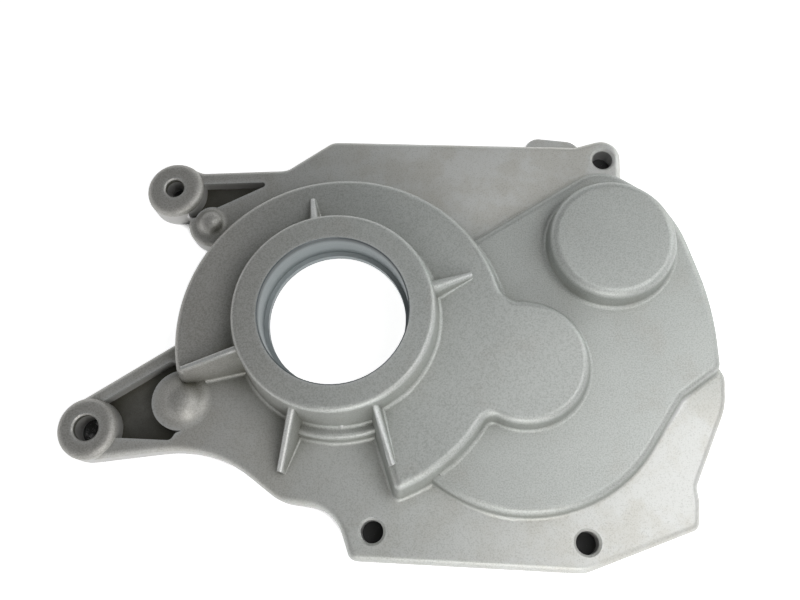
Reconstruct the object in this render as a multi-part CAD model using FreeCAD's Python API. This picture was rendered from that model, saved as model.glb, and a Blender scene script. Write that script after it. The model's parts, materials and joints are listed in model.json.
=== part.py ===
"""Die-cast gear-case cover: one aluminium casting.

The origin is on the axis of the main bore, at the shoulder of its bearing seat. +Z points out
through the bore's mouth and +X runs along the straight edges of the flange. The casting is built up
from its mating face at height 0 and is moved to that origin last. All sizes are in millimetres.
"""
import FreeCAD, Part
import cmath
import math
import os

from FreeCAD import Vector

NODE = "housing"

# ---- Heights: each one is a step up from the surface named
FLANGE_T = 7.0             # flange plate, from the mating face
MID_STEP = 4.0             # middle platform, above the flange
HIGH_STEP = 7.0            # high platform, above the middle one
RING_STEP = 9.5            # bearing ring, above the high platform
BOSS_STEP = 8.5            # closed round boss, above the middle platform
LUG_PROUD = 2.0            # lug faces, above the flange
FLOOR_T = 2.5              # web left under the pockets of the arms

# ---- Walls and roundings
WALL = 4.0                 # roof and side walls of the gear chamber
DRAFT = 0.14               # slope of the outer walls: sideways run per unit of height
ROOM_DRAFT = 0.03          # the same inside the chamber
RIM_ROUND = 2.2            # outer edge of the flange
MID_ROUND = 2.6            # edge of the middle platform
HIGH_ROUND = 2.4           # edge of the high platform
CORNER_ROUND = 2.0         # upright corners between the high platform's disc and the sector cut out of it
FOOT_ROUND = 1.4           # cove at the foot of the walls

# ---- Main bore: a bearing seat with a lip behind it, in a drafted ring
BORE_R = 23.5
SEAT_DEPTH = 12.0
LIP_W = 1.4                # how far the lip stands in from the seat
LIP_T = 2.5
RING_WALL = 8.4            # at the ring's face
RING_DRAFT = 0.09
RING_ROUND = 1.8
TUBE_WALL = 4.5            # wall of the ring's tube inside the chamber
COLLAR_W = 5.5             # low collar round the ring, where the high platform is cut away
COLLAR_ROUND = 1.8
COLLAR_SPAN = (251.5, 305.0)   # angles between which it shows
BORE_CHAMFER = 0.3

# ---- Gear centres and their bearing seats
COUNTER_X, COUNTER_Y = 60.2, -11.4       # countershaft
COUNTER_SEAT_R = 14.0
INPUT_X, INPUT_Y = 87.8, 30.2            # input shaft
INPUT_SEAT_R = 16.0
INPUT_END_WALL = 3.5
SEAT_WALL = 3.5            # wall left round the countershaft's seat inside the chamber
BOSS_WALL = 4.1            # round the input shaft's seat
BOSS_DRAFT = 0.1
BOSS_ROUND = 3.0

# ---- Middle platform
MID_R = 46.1               # round the countershaft

# ---- High platform: a disc round the large gear and a lobe round the countershaft
DISC_X, DISC_Y, DISC_R = 1.4, -4.2, 52.9
LOBE_WALL = 5.5            # round the countershaft's seat
LOW_THROAT_R = 4.0         # hollow corners between disc and lobe
TOP_THROAT_R = 7.0

# ---- Lugs at the ends of the two arms
LOW_LUG_X, LOW_LUG_Y = -79.4, -37.0
TOP_LUG_X, TOP_LUG_Y = -61.9, 48.2
LUG_R = 10.1
LOW_LUG_HOLE_R = 4.2
TOP_LUG_HOLE_R = 3.3
LUG_ROUND = 3.0
LUG_CHAMFER = 0.5

# ---- Bolt holes of the flange
BOLT_HOLE_R = 3.5
BOLT_CHAMFER = 0.8
LOW_BOLTS_X = (14.6, 80.0)
LOW_BOLTS_Y = -64.4
TOP_BOLT_X, TOP_BOLT_Y = 87.0, 64.4
EAR_WALL = 3.1

# ---- Low tab on the top edge: its pins and thickness
TAB_PINS = [(65.3, 69.2, 5.0), (66.0, 60.0, 5.0), (74.0, 60.0, 5.0), (74.3, 67.2, 6.2)]
TAB_T = 3.2
TAB_ROUND = 1.0

# ---- Ribs from the ring, as (angle at the ring, angle at the tip, reach beyond the ring,
#      crest height at the ring below the ring's face, half width at the ring, half width at the tip)
UPPER_RIBS = [
    (17.5, 20.5, 13.6, 3.0, 2.6, 0.9),
    (106.0, 104.9, 10.1, 2.0, 1.4, 0.8),
    (203.8, 201.6, 19.3, 2.0, 1.1, 0.9),
    (296.6, 294.3, 18.1, 3.0, 1.8, 1.0),
]
FLOOR_RIB = (249.8, 252.6, 18.5, 3.0, 1.3, 1.0)
FLOOR_RIB_END = 3.6        # crest of the floor rib at its tip, above the flange
UPPER_RIB_END = 1.6        # the same for the other ribs, above the high platform
RIB_DRAFT = 0.1
RIB_FOOT = 1.2             # cove at the foot of a rib, at the ring
RIB_TIP_FOOT = 0.3         # and at its tip
RIB_ROOT = 2.0             # how far a rib starts inside the ring

# ---- Domed bosses beside the arms: place, radius, rise above the flange and the cap's own radius
LOW_DOME = (-49.8, -26.4, 9.9, 3.9, 9.0)
TOP_DOME = (-47.8, 36.2, 5.9, 3.5, 4.6)
DOME_LAP = 0.4             # how far the lower dome stands over the edge of its pocket
DOME_WEB = 2.3             # web of the upper arm, round its dome

# ---- Radii and levels that follow from the walls and steps
LIP_R = BORE_R - LIP_W
RING_R = BORE_R + RING_WALL
TUBE_R = BORE_R + TUBE_WALL
COLLAR_R = RING_R + COLLAR_W
BOSS_R = INPUT_SEAT_R + BOSS_WALL
LOBE_R = COUNTER_SEAT_R + LOBE_WALL
EAR_R = BOLT_HOLE_R + EAR_WALL
MID_TOP = FLANGE_T + MID_STEP
HIGH_TOP = MID_TOP + HIGH_STEP
RING_TOP = HIGH_TOP + RING_STEP
BOSS_TOP = MID_TOP + BOSS_STEP
LUG_TOP = FLANGE_T + LUG_PROUD
SEAT_FLOOR = RING_TOP - SEAT_DEPTH
TUBE_END = SEAT_FLOOR - LIP_T

SLAB = 1.0                 # depth of the slabs on which the forms stand while their feet are rounded
REACH = 300.0              # half the width of those slabs
OVERCUT = 1.0              # how far a cutting tool runs past the surface it opens
MEETING = 0.001            # ends of an outline's arcs that are this close are one point


def outline(pins, z, grow=0.0):
    """A closed wire at height z, drawn anticlockwise round pins like a belt.

    Each pin is (x, y, radius). A negative radius is a hollow corner: the belt passes on the pin's
    other side. grow moves the whole outline outwards, and every arc keeps its centre.
    """
    centres = [complex(x, y) for x, y, r in pins]
    radii = [r + grow for x, y, r in pins]
    count = len(pins)
    headings = []
    for i in range(count):
        gap = centres[(i + 1) % count] - centres[i]
        side = radii[(i + 1) % count] - radii[i]
        run = abs(gap) ** 2 - side ** 2
        run = math.sqrt(run) if run > MEETING else 0.0
        headings.append(gap / complex(run, side))
    arcs = []
    for i in range(count):
        turn = cmath.phase(headings[i] / headings[i - 1])
        if turn * radii[i] < 0:
            turn += math.copysign(2 * math.pi, radii[i])
        spoke = -1j * radii[i] * headings[i - 1]
        arc = [centres[i] + spoke * cmath.exp(1j * turn * share) for share in (0.0, 0.5, 1.0)]
        arcs.append([Vector(p.real, p.imag, z) for p in arc])
    edges = []
    for i in range(count):
        before, this = arcs[i - 1], arcs[i]
        if before[2].distanceToPoint(this[0]) > MEETING:
            edges.append(Part.LineSegment(before[2], this[0]).toShape())
        else:
            this[0] = before[2]
        edges.append(Part.Arc(*this).toShape())
    return Part.Wire(edges)


def throat(a, b, radius, side):
    """The hollow pin that touches pins a and b, left (+1) or right (-1) of the line from a to b."""
    start, end = complex(a[0], a[1]), complex(b[0], b[1])
    gap = end - start
    reach_a, reach_b = a[2] + radius, b[2] + radius
    along = (reach_a ** 2 - reach_b ** 2 + abs(gap) ** 2) / (2 * abs(gap))
    across = math.sqrt(reach_a ** 2 - along ** 2)
    centre = start + gap / abs(gap) * complex(along, side * across)
    return (centre.real, centre.imag, -radius)


def prism(pins, low, high, draft=0.0):
    """A solid between two heights, with the pins' outline at its top and sloping walls."""
    foot = outline(pins, low, draft * (high - low))
    return Part.makeLoft([foot, outline(pins, high)], True, True)


def cylinder(x, y, radius, low, high):
    return Part.makeCylinder(radius, high - low, Vector(x, y, low))


def cone(x, y, low_radius, high_radius, low, high):
    if abs(low_radius - high_radius) < MEETING:
        return cylinder(x, y, low_radius, low, high)
    return Part.makeCone(low_radius, high_radius, high - low, Vector(x, y, low))


def level_edges(shape, z):
    """The edges of a shape that lie flat at height z."""
    return [e for e in shape.Edges if abs(e.BoundBox.ZMin - z) < 0.001 and abs(e.BoundBox.ZMax - z) < 0.001]


def rounded_post(x, y, radius, top, rounding, low=0.0, draft=0.0):
    """A round boss with a rounded top edge."""
    post = cone(x, y, radius + draft * (top - low), radius, low, top)
    return post.makeFillet(rounding, level_edges(post, top))


# ---------------------------------------------------------------- outlines
DISC = (DISC_X, DISC_Y, DISC_R)
LOBE = (COUNTER_X, COUNTER_Y, LOBE_R)
HIGH_PINS = [DISC, throat(DISC, LOBE, LOW_THROAT_R, -1), LOBE, throat(DISC, LOBE, TOP_THROAT_R, 1)]

# Outer wall of the gear case from the notch on the right up to the top corner
FLANK_PINS = [(30.0, -6.0, 91.3), (77.2, 20.7, 38.0)]
CREST = (85.9, 43.2, 14.2)
TAIL = (30.0, 10.0, 9.8)
MID_PINS = [
    (COUNTER_X, COUNTER_Y, MID_R),
    (110.8, -20.6, -2.0),
    (117.4, -7.6, 4.1),
    *FLANK_PINS,
    CREST,
    TAIL,
]
# The same wall seen from inside, where it runs straight past the notch
INNER_SHOULDER = (79.0, -2.0, 40.0)
ROOM_PINS = [
    (x, y, r - WALL)
    for x, y, r in [(COUNTER_X, COUNTER_Y, MID_R), INNER_SHOULDER, FLANK_PINS[1], CREST, TAIL]
]

# The part of the high platform that is cut away between two straight walls
SECTOR_PINS = [(2.1, -10.5, 4.0), (-65.0, -28.2, 4.0), (-65.0, -79.4, 4.0), (27.5, -79.4, 4.0)]

LOW_LUG = (LOW_LUG_X, LOW_LUG_Y, LUG_R)
TOP_LUG = (TOP_LUG_X, TOP_LUG_Y, LUG_R)
TOP_WEB = (TOP_DOME[0], TOP_DOME[1], TOP_DOME[2] + DOME_WEB)
DISC_SKIN = (DISC_X, DISC_Y, DISC_R + DRAFT * (MID_STEP + HIGH_STEP))
ARM_ROOT_R = 2.0
ARM_ROOT_ANGLE = math.radians(181.0)
FLANGE_PINS = [
    (10.3, -70.3, 3.0),
    (77.8, -65.3, 8.0),
    (110.9, -56.7, 2.9),
    (111.1, -50.3, 3.1),
    (116.9, -46.5, -3.2),
    (103.4, -16.5, 20.6),
    (119.4, -12.4, 4.8),
    (101.6, 42.6, -8.2),
    (TOP_BOLT_X - 0.3, TOP_BOLT_Y + 1.0, EAR_R),
    (77.2, 72.4, -3.0),
    (-5.8, 63.3, 6.0),
    (-25.5, 63.2, -5.7),
    (-52.6, 60.7, -5.0),
    TOP_LUG,
    throat(TOP_LUG, TOP_WEB, 1.5, -1),
    TOP_WEB,
    throat(TOP_WEB, DISC_SKIN, 3.0, -1),
    (
        DISC_X + (DISC_SKIN[2] + ARM_ROOT_R) * math.cos(ARM_ROOT_ANGLE),
        DISC_Y + (DISC_SKIN[2] + ARM_ROOT_R) * math.sin(ARM_ROOT_ANGLE),
        -ARM_ROOT_R,
    ),
    LOW_LUG,
    (-48.0, -82.6, -40.0),
    (-9.8, -43.6, 13.8),
    (-6.0, -69.8, -12.0),
]

LOW_POCKET_PINS = [
    (-74.0, -37.0, 2.5),
    (-53.0, -37.5, 2.0),
    (-49.6, -38.0, -1.2),
    (LOW_DOME[0], LOW_DOME[1], LOW_DOME[2] - DOME_LAP),
    (-54.6, -15.6, 1.8),
    (-75.0, -30.5, 2.5),
]
TOP_POCKET_PINS = [(-31.3, 51.2, 0.9), (-52.0, 48.6, 2.2), (-54.4, 39.8, 2.0)]


def level(pins, z, inset):
    """The room above a platform's flat top, up to the highest surface."""
    return prism([(x, y, r - inset) for x, y, r in pins], z - SLAB, RING_TOP)


def stood_on(form, z, region):
    """The form with a cove round its foot, where it stands on the level z, within a region."""
    reach = 2 * REACH
    slab = Part.makeBox(reach, reach, SLAB, Vector(-REACH, -REACH, z - SLAB))
    joined = slab.fuse(form)
    feet = [e for e in level_edges(joined, z) if e.BoundBox.DiagonalLength < REACH]
    return joined.makeFillet(FOOT_ROUND, feet).common(region)


def flange():
    """The flange plate with its rounded rim and the low tab."""
    plate = prism(FLANGE_PINS, 0.0, FLANGE_T)
    plate = plate.makeFillet(RIM_ROUND, level_edges(plate, FLANGE_T))
    tab = prism(TAB_PINS, 0.0, TAB_T)
    return plate.fuse(tab.makeFillet(TAB_ROUND, level_edges(tab, TAB_T)))


def middle_platform():
    platform = prism(MID_PINS, 0.0, MID_TOP, DRAFT)
    return platform.makeFillet(MID_ROUND, level_edges(platform, MID_TOP))


def sector(grow=0.0):
    """The block taken out of the high platform. It narrows downwards, so the walls it leaves have draft."""
    foot = outline(SECTOR_PINS, -OVERCUT, grow - DRAFT * (HIGH_TOP + OVERCUT))
    mouth = outline(SECTOR_PINS, RING_TOP, grow + DRAFT * (RING_TOP - HIGH_TOP))
    return Part.makeLoft([foot, mouth], True, True)


def high_platform():
    """A disc with a lobe, less the sector, with its corners and top edges rounded."""
    block = sector()
    platform = prism(HIGH_PINS, 0.0, HIGH_TOP, DRAFT).cut(block)
    platform = platform.makeFillet(CORNER_ROUND, [e for e in platform.Edges if cut_corner(e, block)])
    return platform.makeFillet(HIGH_ROUND, level_edges(platform, HIGH_TOP))


def cut_corner(edge, block):
    """Whether an edge stands upright on the disc's wall, where a wall of the block cuts it."""
    middle = edge.valueAt((edge.FirstParameter + edge.LastParameter) / 2)
    on_disc = math.hypot(middle.x - DISC_X, middle.y - DISC_Y) > DISC_R
    return on_disc and edge.BoundBox.ZLength > HIGH_STEP and block.distToShape(edge)[0] < MEETING


def rib_section(angle, reach, low, floor, crest, half, cove):
    """An upright section across a rib: drafted sides on a coved foot, under a half-round crest."""
    out = Vector(math.cos(angle), math.sin(angle), 0)
    across = Vector(-out.y, out.x, 0)

    def at(side, z):
        return out * reach + across * side + Vector(0, 0, z)

    spring = crest - half
    foot = half + RIB_DRAFT * (spring - floor - cove)
    curve = cove * (1 - math.sqrt(0.5))
    edges = [
        Part.LineSegment(at(-foot - cove, low), at(-foot - cove, floor)),
        Part.Arc(at(-foot - cove, floor), at(-foot - curve, floor + curve), at(-foot, floor + cove)),
        Part.LineSegment(at(-foot, floor + cove), at(-half, spring)),
        Part.Arc(at(-half, spring), at(0, crest), at(half, spring)),
        Part.LineSegment(at(half, spring), at(foot, floor + cove)),
        Part.Arc(at(foot, floor + cove), at(foot + curve, floor + curve), at(foot + cove, floor)),
        Part.LineSegment(at(foot + cove, floor), at(foot + cove, low)),
        Part.LineSegment(at(foot + cove, low), at(-foot - cove, low)),
    ]
    return Part.Wire([edge.toShape() for edge in edges])


def rib(spec, floor, low, end):
    """A gusset from inside the ring out to its tip, whose crest falls to a height above its floor."""
    root_angle, tip_angle, reach, drop, root_half, tip_half = spec
    root_at, tip_at = math.radians(root_angle), math.radians(tip_angle)
    root = rib_section(root_at, RING_R - RIB_ROOT, low, floor, RING_TOP - drop, root_half, RIB_FOOT)
    tip = rib_section(tip_at, RING_R + reach, low, floor, floor + end, tip_half, RIB_TIP_FOOT)
    return Part.makeLoft([root, tip], True, True)


def dome(spec):
    """A round cap on the flange, whose side runs out into it in a cove."""
    x, y, radius, rise, cap = spec
    top = FLANGE_T + rise
    slope = 2 * math.atan(rise / radius)
    cove = radius / math.sin(slope) - cap
    half_sin, half_cos = math.sin(slope / 2), math.cos(slope / 2)

    def at(out, z):
        return Vector(x + out, y, z)

    join = at(cap * math.sin(slope), top - cap * (1 - math.cos(slope)))
    edges = [
        Part.Arc(at(0, top), at(cap * half_sin, top - cap * (1 - half_cos)), join),
        Part.Arc(join, at(radius - cove * half_sin, FLANGE_T + cove * (1 - half_cos)), at(radius, FLANGE_T)),
        Part.LineSegment(at(radius, FLANGE_T), at(radius, 0)),
        Part.LineSegment(at(radius, 0), at(0, 0)),
        Part.LineSegment(at(0, 0), at(0, top)),
    ]
    half = Part.Face(Part.Wire([edge.toShape() for edge in edges]))
    return half.revolve(at(0, 0), Vector(0, 0, 1), 360)


def collar_span():
    """The wedge from the floor rib to the high platform, where the collar shows."""
    start, end = COLLAR_SPAN
    wedge = Part.makeCylinder(REACH, RING_TOP, Vector(0, 0, 0), Vector(0, 0, 1), end - start)
    wedge.rotate(Vector(0, 0, 0), Vector(0, 0, 1), start)
    return wedge


def outside():
    """All outer forms joined, before anything is hollowed."""
    middle, high = middle_platform(), high_platform()
    ring = rounded_post(0, 0, RING_R, RING_TOP, RING_ROUND, draft=RING_DRAFT)
    post = rounded_post(0, 0, COLLAR_R, MID_TOP, COLLAR_ROUND, draft=DRAFT)
    boss = rounded_post(INPUT_X, INPUT_Y, BOSS_R, BOSS_TOP, BOSS_ROUND, draft=BOSS_DRAFT)
    on_flange = level(FLANGE_PINS, FLANGE_T, RIM_ROUND)
    on_middle = level(MID_PINS, MID_TOP, MID_ROUND)
    on_high = level(HIGH_PINS, HIGH_TOP, HIGH_ROUND).cut(sector(HIGH_ROUND))
    span = collar_span()
    collar = post.common(span)
    on_collar = cylinder(0, 0, COLLAR_R - COLLAR_ROUND, MID_TOP - SLAB, RING_TOP).common(span)
    body = flange().fuse([stood_on(form, FLANGE_T, on_flange) for form in (middle, high, ring)])
    body = body.fuse(stood_on(post, FLANGE_T, on_flange.common(span)))
    for pins in (LOW_POCKET_PINS, TOP_POCKET_PINS):
        body = body.cut(prism(pins, FLOOR_T, FLANGE_T + OVERCUT))
    forms = [
        middle,
        high,
        ring,
        collar,
        boss,
        stood_on(high, MID_TOP, on_middle),
        stood_on(boss, MID_TOP, on_middle),
        stood_on(ring, MID_TOP, on_collar),
        stood_on(ring, HIGH_TOP, on_high),
        rounded_post(LOW_LUG_X, LOW_LUG_Y, LUG_R, LUG_TOP, LUG_ROUND),
        rounded_post(TOP_LUG_X, TOP_LUG_Y, LUG_R, LUG_TOP, LUG_ROUND),
        dome(LOW_DOME),
        dome(TOP_DOME),
        rib(FLOOR_RIB, FLANGE_T, FLANGE_T - SLAB, FLOOR_RIB_END),
        *[rib(spec, HIGH_TOP, FLANGE_T, UPPER_RIB_END).cut(sector()) for spec in UPPER_RIBS],
    ]
    return body.fuse(forms).removeSplitter()


def gear_room():
    """The hollow behind the platforms, open at the mating face."""
    low = -OVERCUT
    roof = HIGH_TOP - WALL
    ledge = MID_TOP - WALL
    disc_r = DISC_R - WALL
    disc = cone(DISC_X, DISC_Y, disc_r + ROOM_DRAFT * (roof - low), disc_r, low, roof)
    tube = cylinder(0, 0, TUBE_R, TUBE_END, HIGH_TOP)
    seat = cylinder(COUNTER_X, COUNTER_Y, COUNTER_SEAT_R + SEAT_WALL, ledge, HIGH_TOP)
    disc = disc.cut([sector(WALL), tube, seat])
    under_ring = cylinder(0, 0, TUBE_R, low, TUBE_END)
    return disc.fuse([under_ring, prism(ROOM_PINS, low, ledge, ROOM_DRAFT)])


def seats():
    """The three bearing seats: the main bore with its lip, and two blind ones from behind."""
    ledge = MID_TOP - WALL
    edge = BORE_CHAMFER + OVERCUT
    return [
        cylinder(0, 0, LIP_R, -OVERCUT, RING_TOP),
        cylinder(0, 0, BORE_R, SEAT_FLOOR, RING_TOP + OVERCUT),
        cone(0, 0, BORE_R - OVERCUT, BORE_R + edge, RING_TOP - edge, RING_TOP + OVERCUT),
        cylinder(INPUT_X, INPUT_Y, INPUT_SEAT_R, ledge - OVERCUT, BOSS_TOP - INPUT_END_WALL),
        cylinder(COUNTER_X, COUNTER_Y, COUNTER_SEAT_R, ledge - OVERCUT, HIGH_TOP - WALL),
    ]


def holes():
    """The bolt holes and lug holes, each with a chamfered mouth."""
    mouths = [(x, LOW_BOLTS_Y, BOLT_HOLE_R, BOLT_CHAMFER, FLANGE_T) for x in LOW_BOLTS_X]
    mouths.append((TOP_BOLT_X, TOP_BOLT_Y, BOLT_HOLE_R, BOLT_CHAMFER, FLANGE_T))
    mouths.append((LOW_LUG_X, LOW_LUG_Y, LOW_LUG_HOLE_R, LUG_CHAMFER, LUG_TOP))
    mouths.append((TOP_LUG_X, TOP_LUG_Y, TOP_LUG_HOLE_R, LUG_CHAMFER, LUG_TOP))
    tools = []
    for x, y, radius, chamfer, top in mouths:
        edge = chamfer + OVERCUT
        tools.append(cylinder(x, y, radius, -OVERCUT, top + OVERCUT))
        tools.append(cone(x, y, radius - OVERCUT, radius + edge, top - edge, top + OVERCUT))
    return tools


def housing():
    body = outside().cut([gear_room(), *seats(), *holes()]).removeSplitter()
    body.translate(Vector(0, 0, -SEAT_FLOOR))
    return body


if __name__ == "__main__":
    os.makedirs("parts", exist_ok=True)
    body = housing()
    body.Solids[0].exportStep(f"parts/{NODE}.step")
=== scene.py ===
"""Looks for a die-cast aluminium gear-case cover, lying on a pale floor in soft studio light."""
import json
import math

import bpy
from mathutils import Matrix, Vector


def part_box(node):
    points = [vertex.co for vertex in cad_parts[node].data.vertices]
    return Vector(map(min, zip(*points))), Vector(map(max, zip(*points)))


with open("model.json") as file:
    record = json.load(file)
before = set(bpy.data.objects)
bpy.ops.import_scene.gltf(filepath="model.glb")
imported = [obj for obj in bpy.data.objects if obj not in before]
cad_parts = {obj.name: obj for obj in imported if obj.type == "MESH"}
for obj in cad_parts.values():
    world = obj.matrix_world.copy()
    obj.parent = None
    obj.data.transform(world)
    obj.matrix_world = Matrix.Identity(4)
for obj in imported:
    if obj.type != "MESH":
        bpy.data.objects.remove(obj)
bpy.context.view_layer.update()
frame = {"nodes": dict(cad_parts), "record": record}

MM = 0.001
housing = frame["nodes"]["housing"]
FLOOR_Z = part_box("housing")[0].z
MOUNTS = {mount["name"]: mount for mount in frame["record"]["mounts"]}

# Camera, in millimetres and degrees in the row frame
CAMERA_AT = (37.47, -77.29, 259.83)
CAMERA_TURN = (18.232, 2.879, 3.041)
LENS_MM = 38.25
SENSOR_MM = 36.0

# Heights on the casting, in metres
FLANGE_TOP = FLOOR_Z + 0.007
POCKET_FLOOR = FLOOR_Z + 0.0025
LIP_LOW = -0.0026                  # the underside of the lip that the main seat ends on
SEATS_LOW = FLANGE_TOP + 0.0001    # the blind seats begin above the flange
SEATS_HIGH = 0.0005                # and end here
BORE_DARK = (0.0085, 0.0112)       # painted shade darkens the main seat towards its mouth between these
FLANGE_FADE = (FLANGE_TOP + 0.0006, FLANGE_TOP + 0.0001)   # bare metal and painted light fade out above the flange
POCKET_FADE = (POCKET_FLOOR + 0.0030, POCKET_FLOOR)        # painted shade fades up a pocket's cove

# How near a surface a point has to be to count as lying on it
FACE_SKIN = 0.00005        # the mating plane
SEAT_SKIN = 0.0004         # a seat's wall
POCKET_SKIN = 0.0003       # a pocket's floor, or the flange's top

BLIND_SEATS = "input_seat", "counter_seat"
POCKETS_LEFT_OF = -0.028   # both pockets lie left of this
PIMPLE_AT = (0.0036, -0.0334, -0.0038)     # a cast pimple at the foot of the ring
PIMPLE_R = 0.0009
COVE_REACH = 0.010         # how far the coves look for shade
EDGE_REACH = 0.0021        # and the convex edges, less than a pocket's floor is thick
HOLE_REACH = 0.008         # and the floor, which stays dark down a narrow hole

# Noise scales, in cells to a metre
BLAST_SCALE = 2200.0
GRAIN_SCALE = 3600.0
CLOUD_SCALE = 24.0
STAIN_SCALE = 55.0
TURNING_SCALE = 5000.0
MILLING_SCALE = 2200.0
ARC_BEND = 6.0             # how strongly the milling lines curve
GRAIN_DEPTH = 0.00012

# Linear colours, each pair as the two ends of one finish
SKIN = (0.478, 0.502, 0.480, 1.0), (0.528, 0.552, 0.528, 1.0)
# painted shade: the skin duller and warmer on the shaded left
SKIN_SHADED_LEFT = (0.412, 0.400, 0.372, 1.0), (0.452, 0.440, 0.410, 1.0)
# bare skin, brightened with painted light
BARE_AND_LIT = (0.79, 0.795, 0.77, 1.0), (0.70, 0.69, 0.64, 1.0)
BRIGHT = (0.36, 0.385, 0.40, 1.0), (0.46, 0.485, 0.50, 1.0)
DULL = (0.27, 0.305, 0.315, 1.0), (0.38, 0.415, 0.425, 1.0)
STAIN = (0.40, 0.375, 0.33, 1.0)
PEEN_PALE = (0.72, 0.72, 0.72, 1.0)
PEEN_DARK = (0.2222, 0.22, 0.2178, 1.0)
# painted light on the steep outer sides
LIT_SIDE = (0.62, 0.615, 0.61, 1.0)
# painted shade in the coves, strongest on the shaded left
COVE_SHADE = (0.155, 0.152, 0.120, 1.0)
# dark painted shade in the pockets and deep corners
POCKET_SHADE = (0.040, 0.038, 0.028, 1.0)
# paler edges: partly wear, partly painted highlight
WORN_AND_SHEEN = (0.76, 0.77, 0.77, 1.0)
# painted glint on the pimple
PIMPLE_GLINT = (0.8, 0.8, 0.8, 1.0)
# painted shade at the main seat's mouth
MOUTH_SHADE = (0.07, 0.08, 0.085, 1.0)
SHOULDER = (0.33, 0.36, 0.37, 1.0)
PAPER = (0.8, 0.8, 0.8, 1.0)
PAPER_SHADED = (0.05, 0.05, 0.05, 1.0)

WORLD_LIGHT = 0.185
FLOOR_GLOW = 0.85
FLOOR_SIZE = 8.0
WALL_R = 3.9
WALL_HEIGHT = 1.6


# ---------------------------------------------------------------- node helpers
class Graph:
    """A material's node tree with short calls for the nodes used here."""

    def __init__(self, name):
        self.material = bpy.data.materials.new(name)
        self.material.use_nodes = True
        self.tree = self.material.node_tree
        self.tree.nodes.clear()

    def node(self, kind, inputs=None, **settings):
        node = self.tree.nodes.new(kind)
        for key, value in settings.items():
            setattr(node, key, value)
        for key, value in (inputs or {}).items():
            if isinstance(value, bpy.types.NodeSocket):
                self.tree.links.new(value, node.inputs[key])
            else:
                node.inputs[key].default_value = value
        return node

    def math(self, operation, a, b=0.0, clamp=False):
        return self.node("ShaderNodeMath", {0: a, 1: b}, operation=operation, use_clamp=clamp).outputs[0]

    def times(self, first, *others):
        """The product of two or more values, each a number or a socket."""
        product = first
        for other in others:
            product = self.math("MULTIPLY", product, other)
        return product

    def below(self, value, limit):
        return self.math("LESS_THAN", value, limit)

    def above(self, value, limit):
        return self.math("GREATER_THAN", value, limit)

    def ramp(self, value, start, end):
        """0 at start and 1 at end, whichever is larger, with a smooth step between them."""
        inputs = {0: value, 1: start, 2: end, 3: 0.0, 4: 1.0}
        return self.node("ShaderNodeMapRange", inputs, interpolation_type="SMOOTHSTEP").outputs[0]

    def noise(self, place, scale, detail, roughness):
        inputs = {"Vector": place, "Scale": scale, "Detail": detail, "Roughness": roughness}
        return self.node("ShaderNodeTexNoise", inputs).outputs["Fac"]

    def lines(self, along, per_metre):
        """Fine parallel lines across one direction, as a cutter leaves them."""
        inputs = {"W": self.times(along, per_metre), "Scale": 1.0, "Detail": 2.0}
        return self.node("ShaderNodeTexNoise", inputs, noise_dimensions="1D").outputs["Fac"]

    def shade(self, reach, samples, inside=False):
        """1 in the open and less where the object is near, or inside it, where it is thin."""
        node = self.node("ShaderNodeAmbientOcclusion", {"Distance": reach}, samples=samples, inside=inside)
        return node.outputs["AO"]

    def square(self, value, centre=0.0):
        return self.math("POWER", self.math("ABSOLUTE", self.math("SUBTRACT", value, centre)), 2.0)

    def mix_value(self, factor, a, b):
        return self.node("ShaderNodeMix", {0: factor, 2: a, 3: b}).outputs[0]

    def mix(self, factor, a, b):
        return self.node("ShaderNodeMix", {0: factor, 6: a, 7: b}, data_type="RGBA").outputs[2]


# ---------------------------------------------------------------- aluminium
def milled_face(g, place, normal):
    """1 on the milled mating face, which looks down at the floor's level."""
    low = g.below(place["Z"], FLOOR_Z + FACE_SKIN)
    return g.times(low, g.below(normal["Z"], -0.9))


def turned_seat(g, place, mount, low):
    """1 inside the wall of a bearing seat, above a height."""
    x, y, _ = MOUNTS[mount]["pos_m"]
    radius = MOUNTS[mount]["dims"]["r_mm"] * MM
    out = g.math("SQRT", g.math("ADD", g.square(place["X"], x), g.square(place["Y"], y)))
    return g.times(g.below(out, radius + SEAT_SKIN), g.above(place["Z"], low))


def bare_and_lit_flange(g, place):
    """How far the flange's top is bare and bright, partly bare skin and partly painted light: most at its
    right end, low and high.
    """
    flange = g.ramp(place["Z"], *FLANGE_FADE)
    # Painted light: the bare flange brighter towards its right end, where the lamps fall
    reach = g.mix_value(g.ramp(place["X"], 0.02, 0.105), 0.38, 0.92)
    low_end = g.times(reach, g.ramp(place["Y"], 0.0, -0.03))
    # Painted light on the flange's top right
    top_end = g.times(g.ramp(place["X"], -0.07, 0.035), g.ramp(place["Y"], 0.02, 0.045))
    return g.times(flange, g.math("ADD", low_end, top_end, clamp=True))


def pockets(g, place, normal):
    """1 on the floors of the two pockets beside the lugs, fading up their coves."""
    near_floor = g.ramp(place["Z"], *POCKET_FADE)
    facing_up = g.ramp(normal["Z"], 0.0, 0.4)
    not_under = g.above(place["Z"], POCKET_FLOOR - POCKET_SKIN)
    return g.times(near_floor, facing_up, not_under, g.below(place["X"], POCKETS_LEFT_OF))


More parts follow.
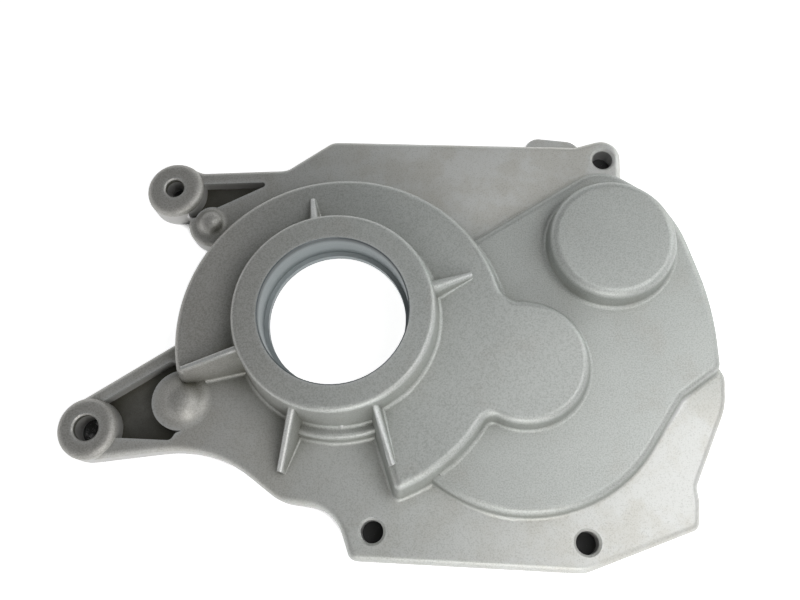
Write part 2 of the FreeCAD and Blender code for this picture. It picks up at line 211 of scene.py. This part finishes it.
def blasted_skin(g, at, place, normal, blast):
    """The cast skin's colour, with painted shade and painted light in it, and masks of its edges, worn and
    painted with highlights, and of its pimple with a painted glint.
    """
    cloud = g.noise(at, CLOUD_SCALE, 4.0, 0.6)
    stain = g.noise(at, STAIN_SCALE, 5.0, 0.65)
    clouded = g.ramp(cloud, 0.3, 0.7)

    # Soft clouds, with painted shade making the left duller and warmer, warm stains, and the bare flange,
    # brighter with painted light towards its right end
    shaded_left = g.ramp(place["X"], 0.02, -0.06)
    skin = g.mix(shaded_left, g.mix(clouded, *SKIN), g.mix(clouded, *SKIN_SHADED_LEFT))
    skin = g.mix(g.times(g.ramp(stain, 0.52, 0.75), 0.30), skin, STAIN)
    skin = g.mix(bare_and_lit_flange(g, place), skin, g.mix(g.ramp(stain, 0.42, 0.6), *BARE_AND_LIT))

    # Peened grain
    skin = g.mix(g.times(g.ramp(blast, 0.40, 0.62), 0.32), skin, PEEN_PALE)
    skin = g.mix(g.times(g.ramp(blast, 0.52, 0.30), 0.26), skin, PEEN_DARK)

    # Painted light on the outer sides, painted shade in the coves, and dark painted shade in the pockets
    # and deep corners
    lit_side_mask = g.times(g.below(place["Z"], FLANGE_TOP - POCKET_SKIN), g.ramp(normal["Z"], 0.4, 0.1))
    skin = g.mix(g.times(lit_side_mask, 0.75), skin, LIT_SIDE)
    # Painted shade in the coves
    cove = g.shade(COVE_REACH, samples=4)
    cove_shade_mask = g.times(g.ramp(cove, 0.85, 0.50), g.mix_value(shaded_left, 0.38, 0.95), g.mix_value(lit_side_mask, 1.0, 0.15))
    skin = g.mix(cove_shade_mask, skin, COVE_SHADE)
    # Dark painted shade in the deep corners and on the pocket floors
    deep_shade_mask = g.times(g.ramp(cove, 0.50, 0.30), g.above(normal["Z"], 0.15))
    pocket_shade_mask = g.times(pockets(g, place, normal), g.mix_value(g.ramp(cloud, 0.25, 0.6), 0.72, 1.0))
    skin = g.mix(g.times(g.math("MAXIMUM", deep_shade_mask, pocket_shade_mask), 0.85), skin, POCKET_SHADE)

    # Paler convex edges, partly wear and partly painted highlight, and the pimple, painted with a glint
    edge = g.shade(EDGE_REACH, samples=6, inside=True)
    worn_sheen_mask = g.times(g.ramp(edge, 0.90, 0.60), g.ramp(blast, 0.2, 0.5))
    skin = g.mix(g.times(worn_sheen_mask, 0.6), skin, WORN_AND_SHEEN)
    # The pimple is a real bump; its white is a painted glint
    away = g.node("ShaderNodeVectorMath", {0: at, 1: PIMPLE_AT}, operation="DISTANCE").outputs["Value"]
    pimple_and_glint = g.ramp(away, PIMPLE_R, 0.3 * PIMPLE_R)
    skin = g.mix(g.times(pimple_and_glint, 0.8), skin, PIMPLE_GLINT)
    return skin, worn_sheen_mask, pimple_and_glint


def aluminium():
    """One material for the whole casting: blasted skin, with turned seats and a milled face."""
    g = Graph("cast_aluminium")
    coords = g.node("ShaderNodeTexCoord").outputs
    at = coords["Object"]
    place = g.node("ShaderNodeSeparateXYZ", {0: at}).outputs
    normal = g.node("ShaderNodeSeparateXYZ", {0: coords["Normal"]}).outputs
    blast = g.noise(at, BLAST_SCALE, 3.0, 0.62)
    grain = g.noise(at, GRAIN_SCALE, 2.0, 0.5)
    skin, worn_sheen_mask, pimple_and_glint = blasted_skin(g, at, place, normal, blast)

    # Where the metal is machined: the main seat, the walls of the two blind ones, and the face
    face = milled_face(g, place, normal)
    bore = turned_seat(g, place, "main_bore", LIP_LOW)
    shoulder = g.times(bore, g.above(normal["Z"], 0.9))
    blind = g.math("MAXIMUM", *(turned_seat(g, place, seat, SEATS_LOW) for seat in BLIND_SEATS))
    blind = g.times(blind, g.below(normal["Z"], 0.1), g.below(place["Z"], SEATS_HIGH))
    cut = g.math("MAXIMUM", g.math("MAXIMUM", bore, blind), face)

    # Turning lines run round the seats, and milling lines in wide arcs across the face
    arcs = g.math("ADD", place["X"], g.times(g.square(place["Y"]), ARC_BEND))
    tool = g.mix_value(face, g.lines(place["Z"], TURNING_SCALE), g.lines(arcs, MILLING_SCALE))
    tooled = g.ramp(tool, 0.35, 0.65)
    metal_colour = g.mix(bore, g.mix(tooled, *BRIGHT), g.mix(tooled, *DULL))
    # Painted shade darkening the main seat towards its mouth
    mouth_shade_mask = g.times(bore, g.ramp(place["Z"], *BORE_DARK), 0.85)
    metal_colour = g.mix(mouth_shade_mask, metal_colour, MOUTH_SHADE)
    metal_colour = g.mix(shoulder, metal_colour, SHOULDER)

    rough = g.mix_value(cut, g.mix_value(worn_sheen_mask, 0.50, 0.42), g.mix_value(bore, 0.34, 0.46))
    metallic = g.mix_value(cut, 0.55, g.mix_value(bore, 0.9, g.mix_value(shoulder, 0.6, 0.15)))
    height = g.math("ADD", g.times(blast, 0.75), g.times(grain, 0.25))
    height = g.math("ADD", height, g.times(pimple_and_glint, 4.0))
    height = g.mix_value(cut, height, g.times(tool, 0.22))
    bump = g.node("ShaderNodeBump", {"Strength": 0.38, "Distance": GRAIN_DEPTH, "Height": height})
    shader = g.node("ShaderNodeBsdfPrincipled", {
        "Base Color": g.mix(cut, skin, metal_colour),
        "Metallic": metallic,
        "Roughness": rough,
        "Normal": bump.outputs[0],
    })
    g.node("ShaderNodeOutputMaterial", {"Surface": shader.outputs[0]})
    return g.material


casting = aluminium()
for index in range(len(housing.data.materials)):
    housing.data.materials[index] = casting


# ---------------------------------------------------------------- floor and backdrop
def floor_material():
    """Pale paper that shows white, but stays dark where narrow holes keep the light off it."""
    g = Graph("floor")
    lit = g.ramp(g.shade(HOLE_REACH, samples=16), 0.38, 0.52)
    paper = g.node("ShaderNodeBsdfDiffuse", {"Color": g.mix(lit, PAPER_SHADED, PAPER)})
    glow = g.node("ShaderNodeEmission", {"Color": (1, 1, 1, 1), "Strength": g.times(lit, FLOOR_GLOW)})
    both = g.node("ShaderNodeAddShader", {0: paper.outputs[0], 1: glow.outputs[0]})
    path = g.node("ShaderNodeLightPath").outputs
    seen = g.math("MAXIMUM", path["Is Camera Ray"], path["Is Glossy Ray"])
    seen = g.math("MAXIMUM", seen, path["Is Transmission Ray"])
    surface = g.node("ShaderNodeMixShader", {0: seen, 1: paper.outputs[0], 2: both.outputs[0]})
    g.node("ShaderNodeOutputMaterial", {"Surface": surface.outputs[0]})
    return g.material


def just_added(name, material):
    """Name the object just added, and give it a material."""
    piece = bpy.context.object
    piece.name = name
    piece.data.materials.append(material)
    return piece


paper_white = floor_material()
bpy.ops.mesh.primitive_plane_add(size=FLOOR_SIZE, location=(0, 0, FLOOR_Z))
floor = just_added("floor", paper_white)

# A low pale wall far round the object, so that a level view has a pale background too
bpy.ops.mesh.primitive_cylinder_add(
    vertices=96, radius=WALL_R, depth=WALL_HEIGHT, end_fill_type="NOTHING",
    location=(0, 0, FLOOR_Z + WALL_HEIGHT / 2))
backdrop = just_added("backdrop", paper_white)


# ---------------------------------------------------------------- light and camera
def area_light(name, at, aim, size, power, colour=(1, 1, 1)):
    """A rectangular lamp at one point that looks at another; metres and watts."""
    data = bpy.data.lights.new(name, "AREA")
    data.shape = "RECTANGLE"
    data.size, data.size_y = size
    data.energy = power
    data.color = colour
    lamp = bpy.data.objects.new(name, data)
    lamp.location = at
    lamp.rotation_euler = (Vector(aim) - Vector(at)).to_track_quat("-Z", "Y").to_euler()
    bpy.context.scene.collection.objects.link(lamp)


area_light("window", (0.09, -0.31, 0.19), (0.01, -0.01, 0.0), (0.20, 0.14), 0.42, (1.0, 0.99, 0.965))
area_light("door", (0.28, 0.15, 0.14), (0.05, 0.07, 0.0), (0.14, 0.12), 0.14, (0.97, 1.0, 0.985))
area_light("fill", (0.19, -0.02, 0.27), (0.08, 0.0, 0.0), (0.20, 0.20), 0.34)

world = bpy.data.worlds.new("studio")
bpy.context.scene.world = world
world.use_nodes = True
background = world.node_tree.nodes["Background"]
background.inputs["Color"].default_value = (0.97, 0.99, 1, 1)
background.inputs["Strength"].default_value = WORLD_LIGHT

camera_data = bpy.data.cameras.new("camera")
camera_data.lens = LENS_MM
camera_data.sensor_width = SENSOR_MM
camera_data.clip_start = 0.01
camera = bpy.data.objects.new("camera", camera_data)
camera.location = Vector(CAMERA_AT) * MM
camera.rotation_euler = [math.radians(angle) for angle in CAMERA_TURN]
bpy.context.scene.collection.objects.link(camera)
bpy.context.scene.camera = camera

bpy.context.scene.view_settings.view_transform = "Standard"
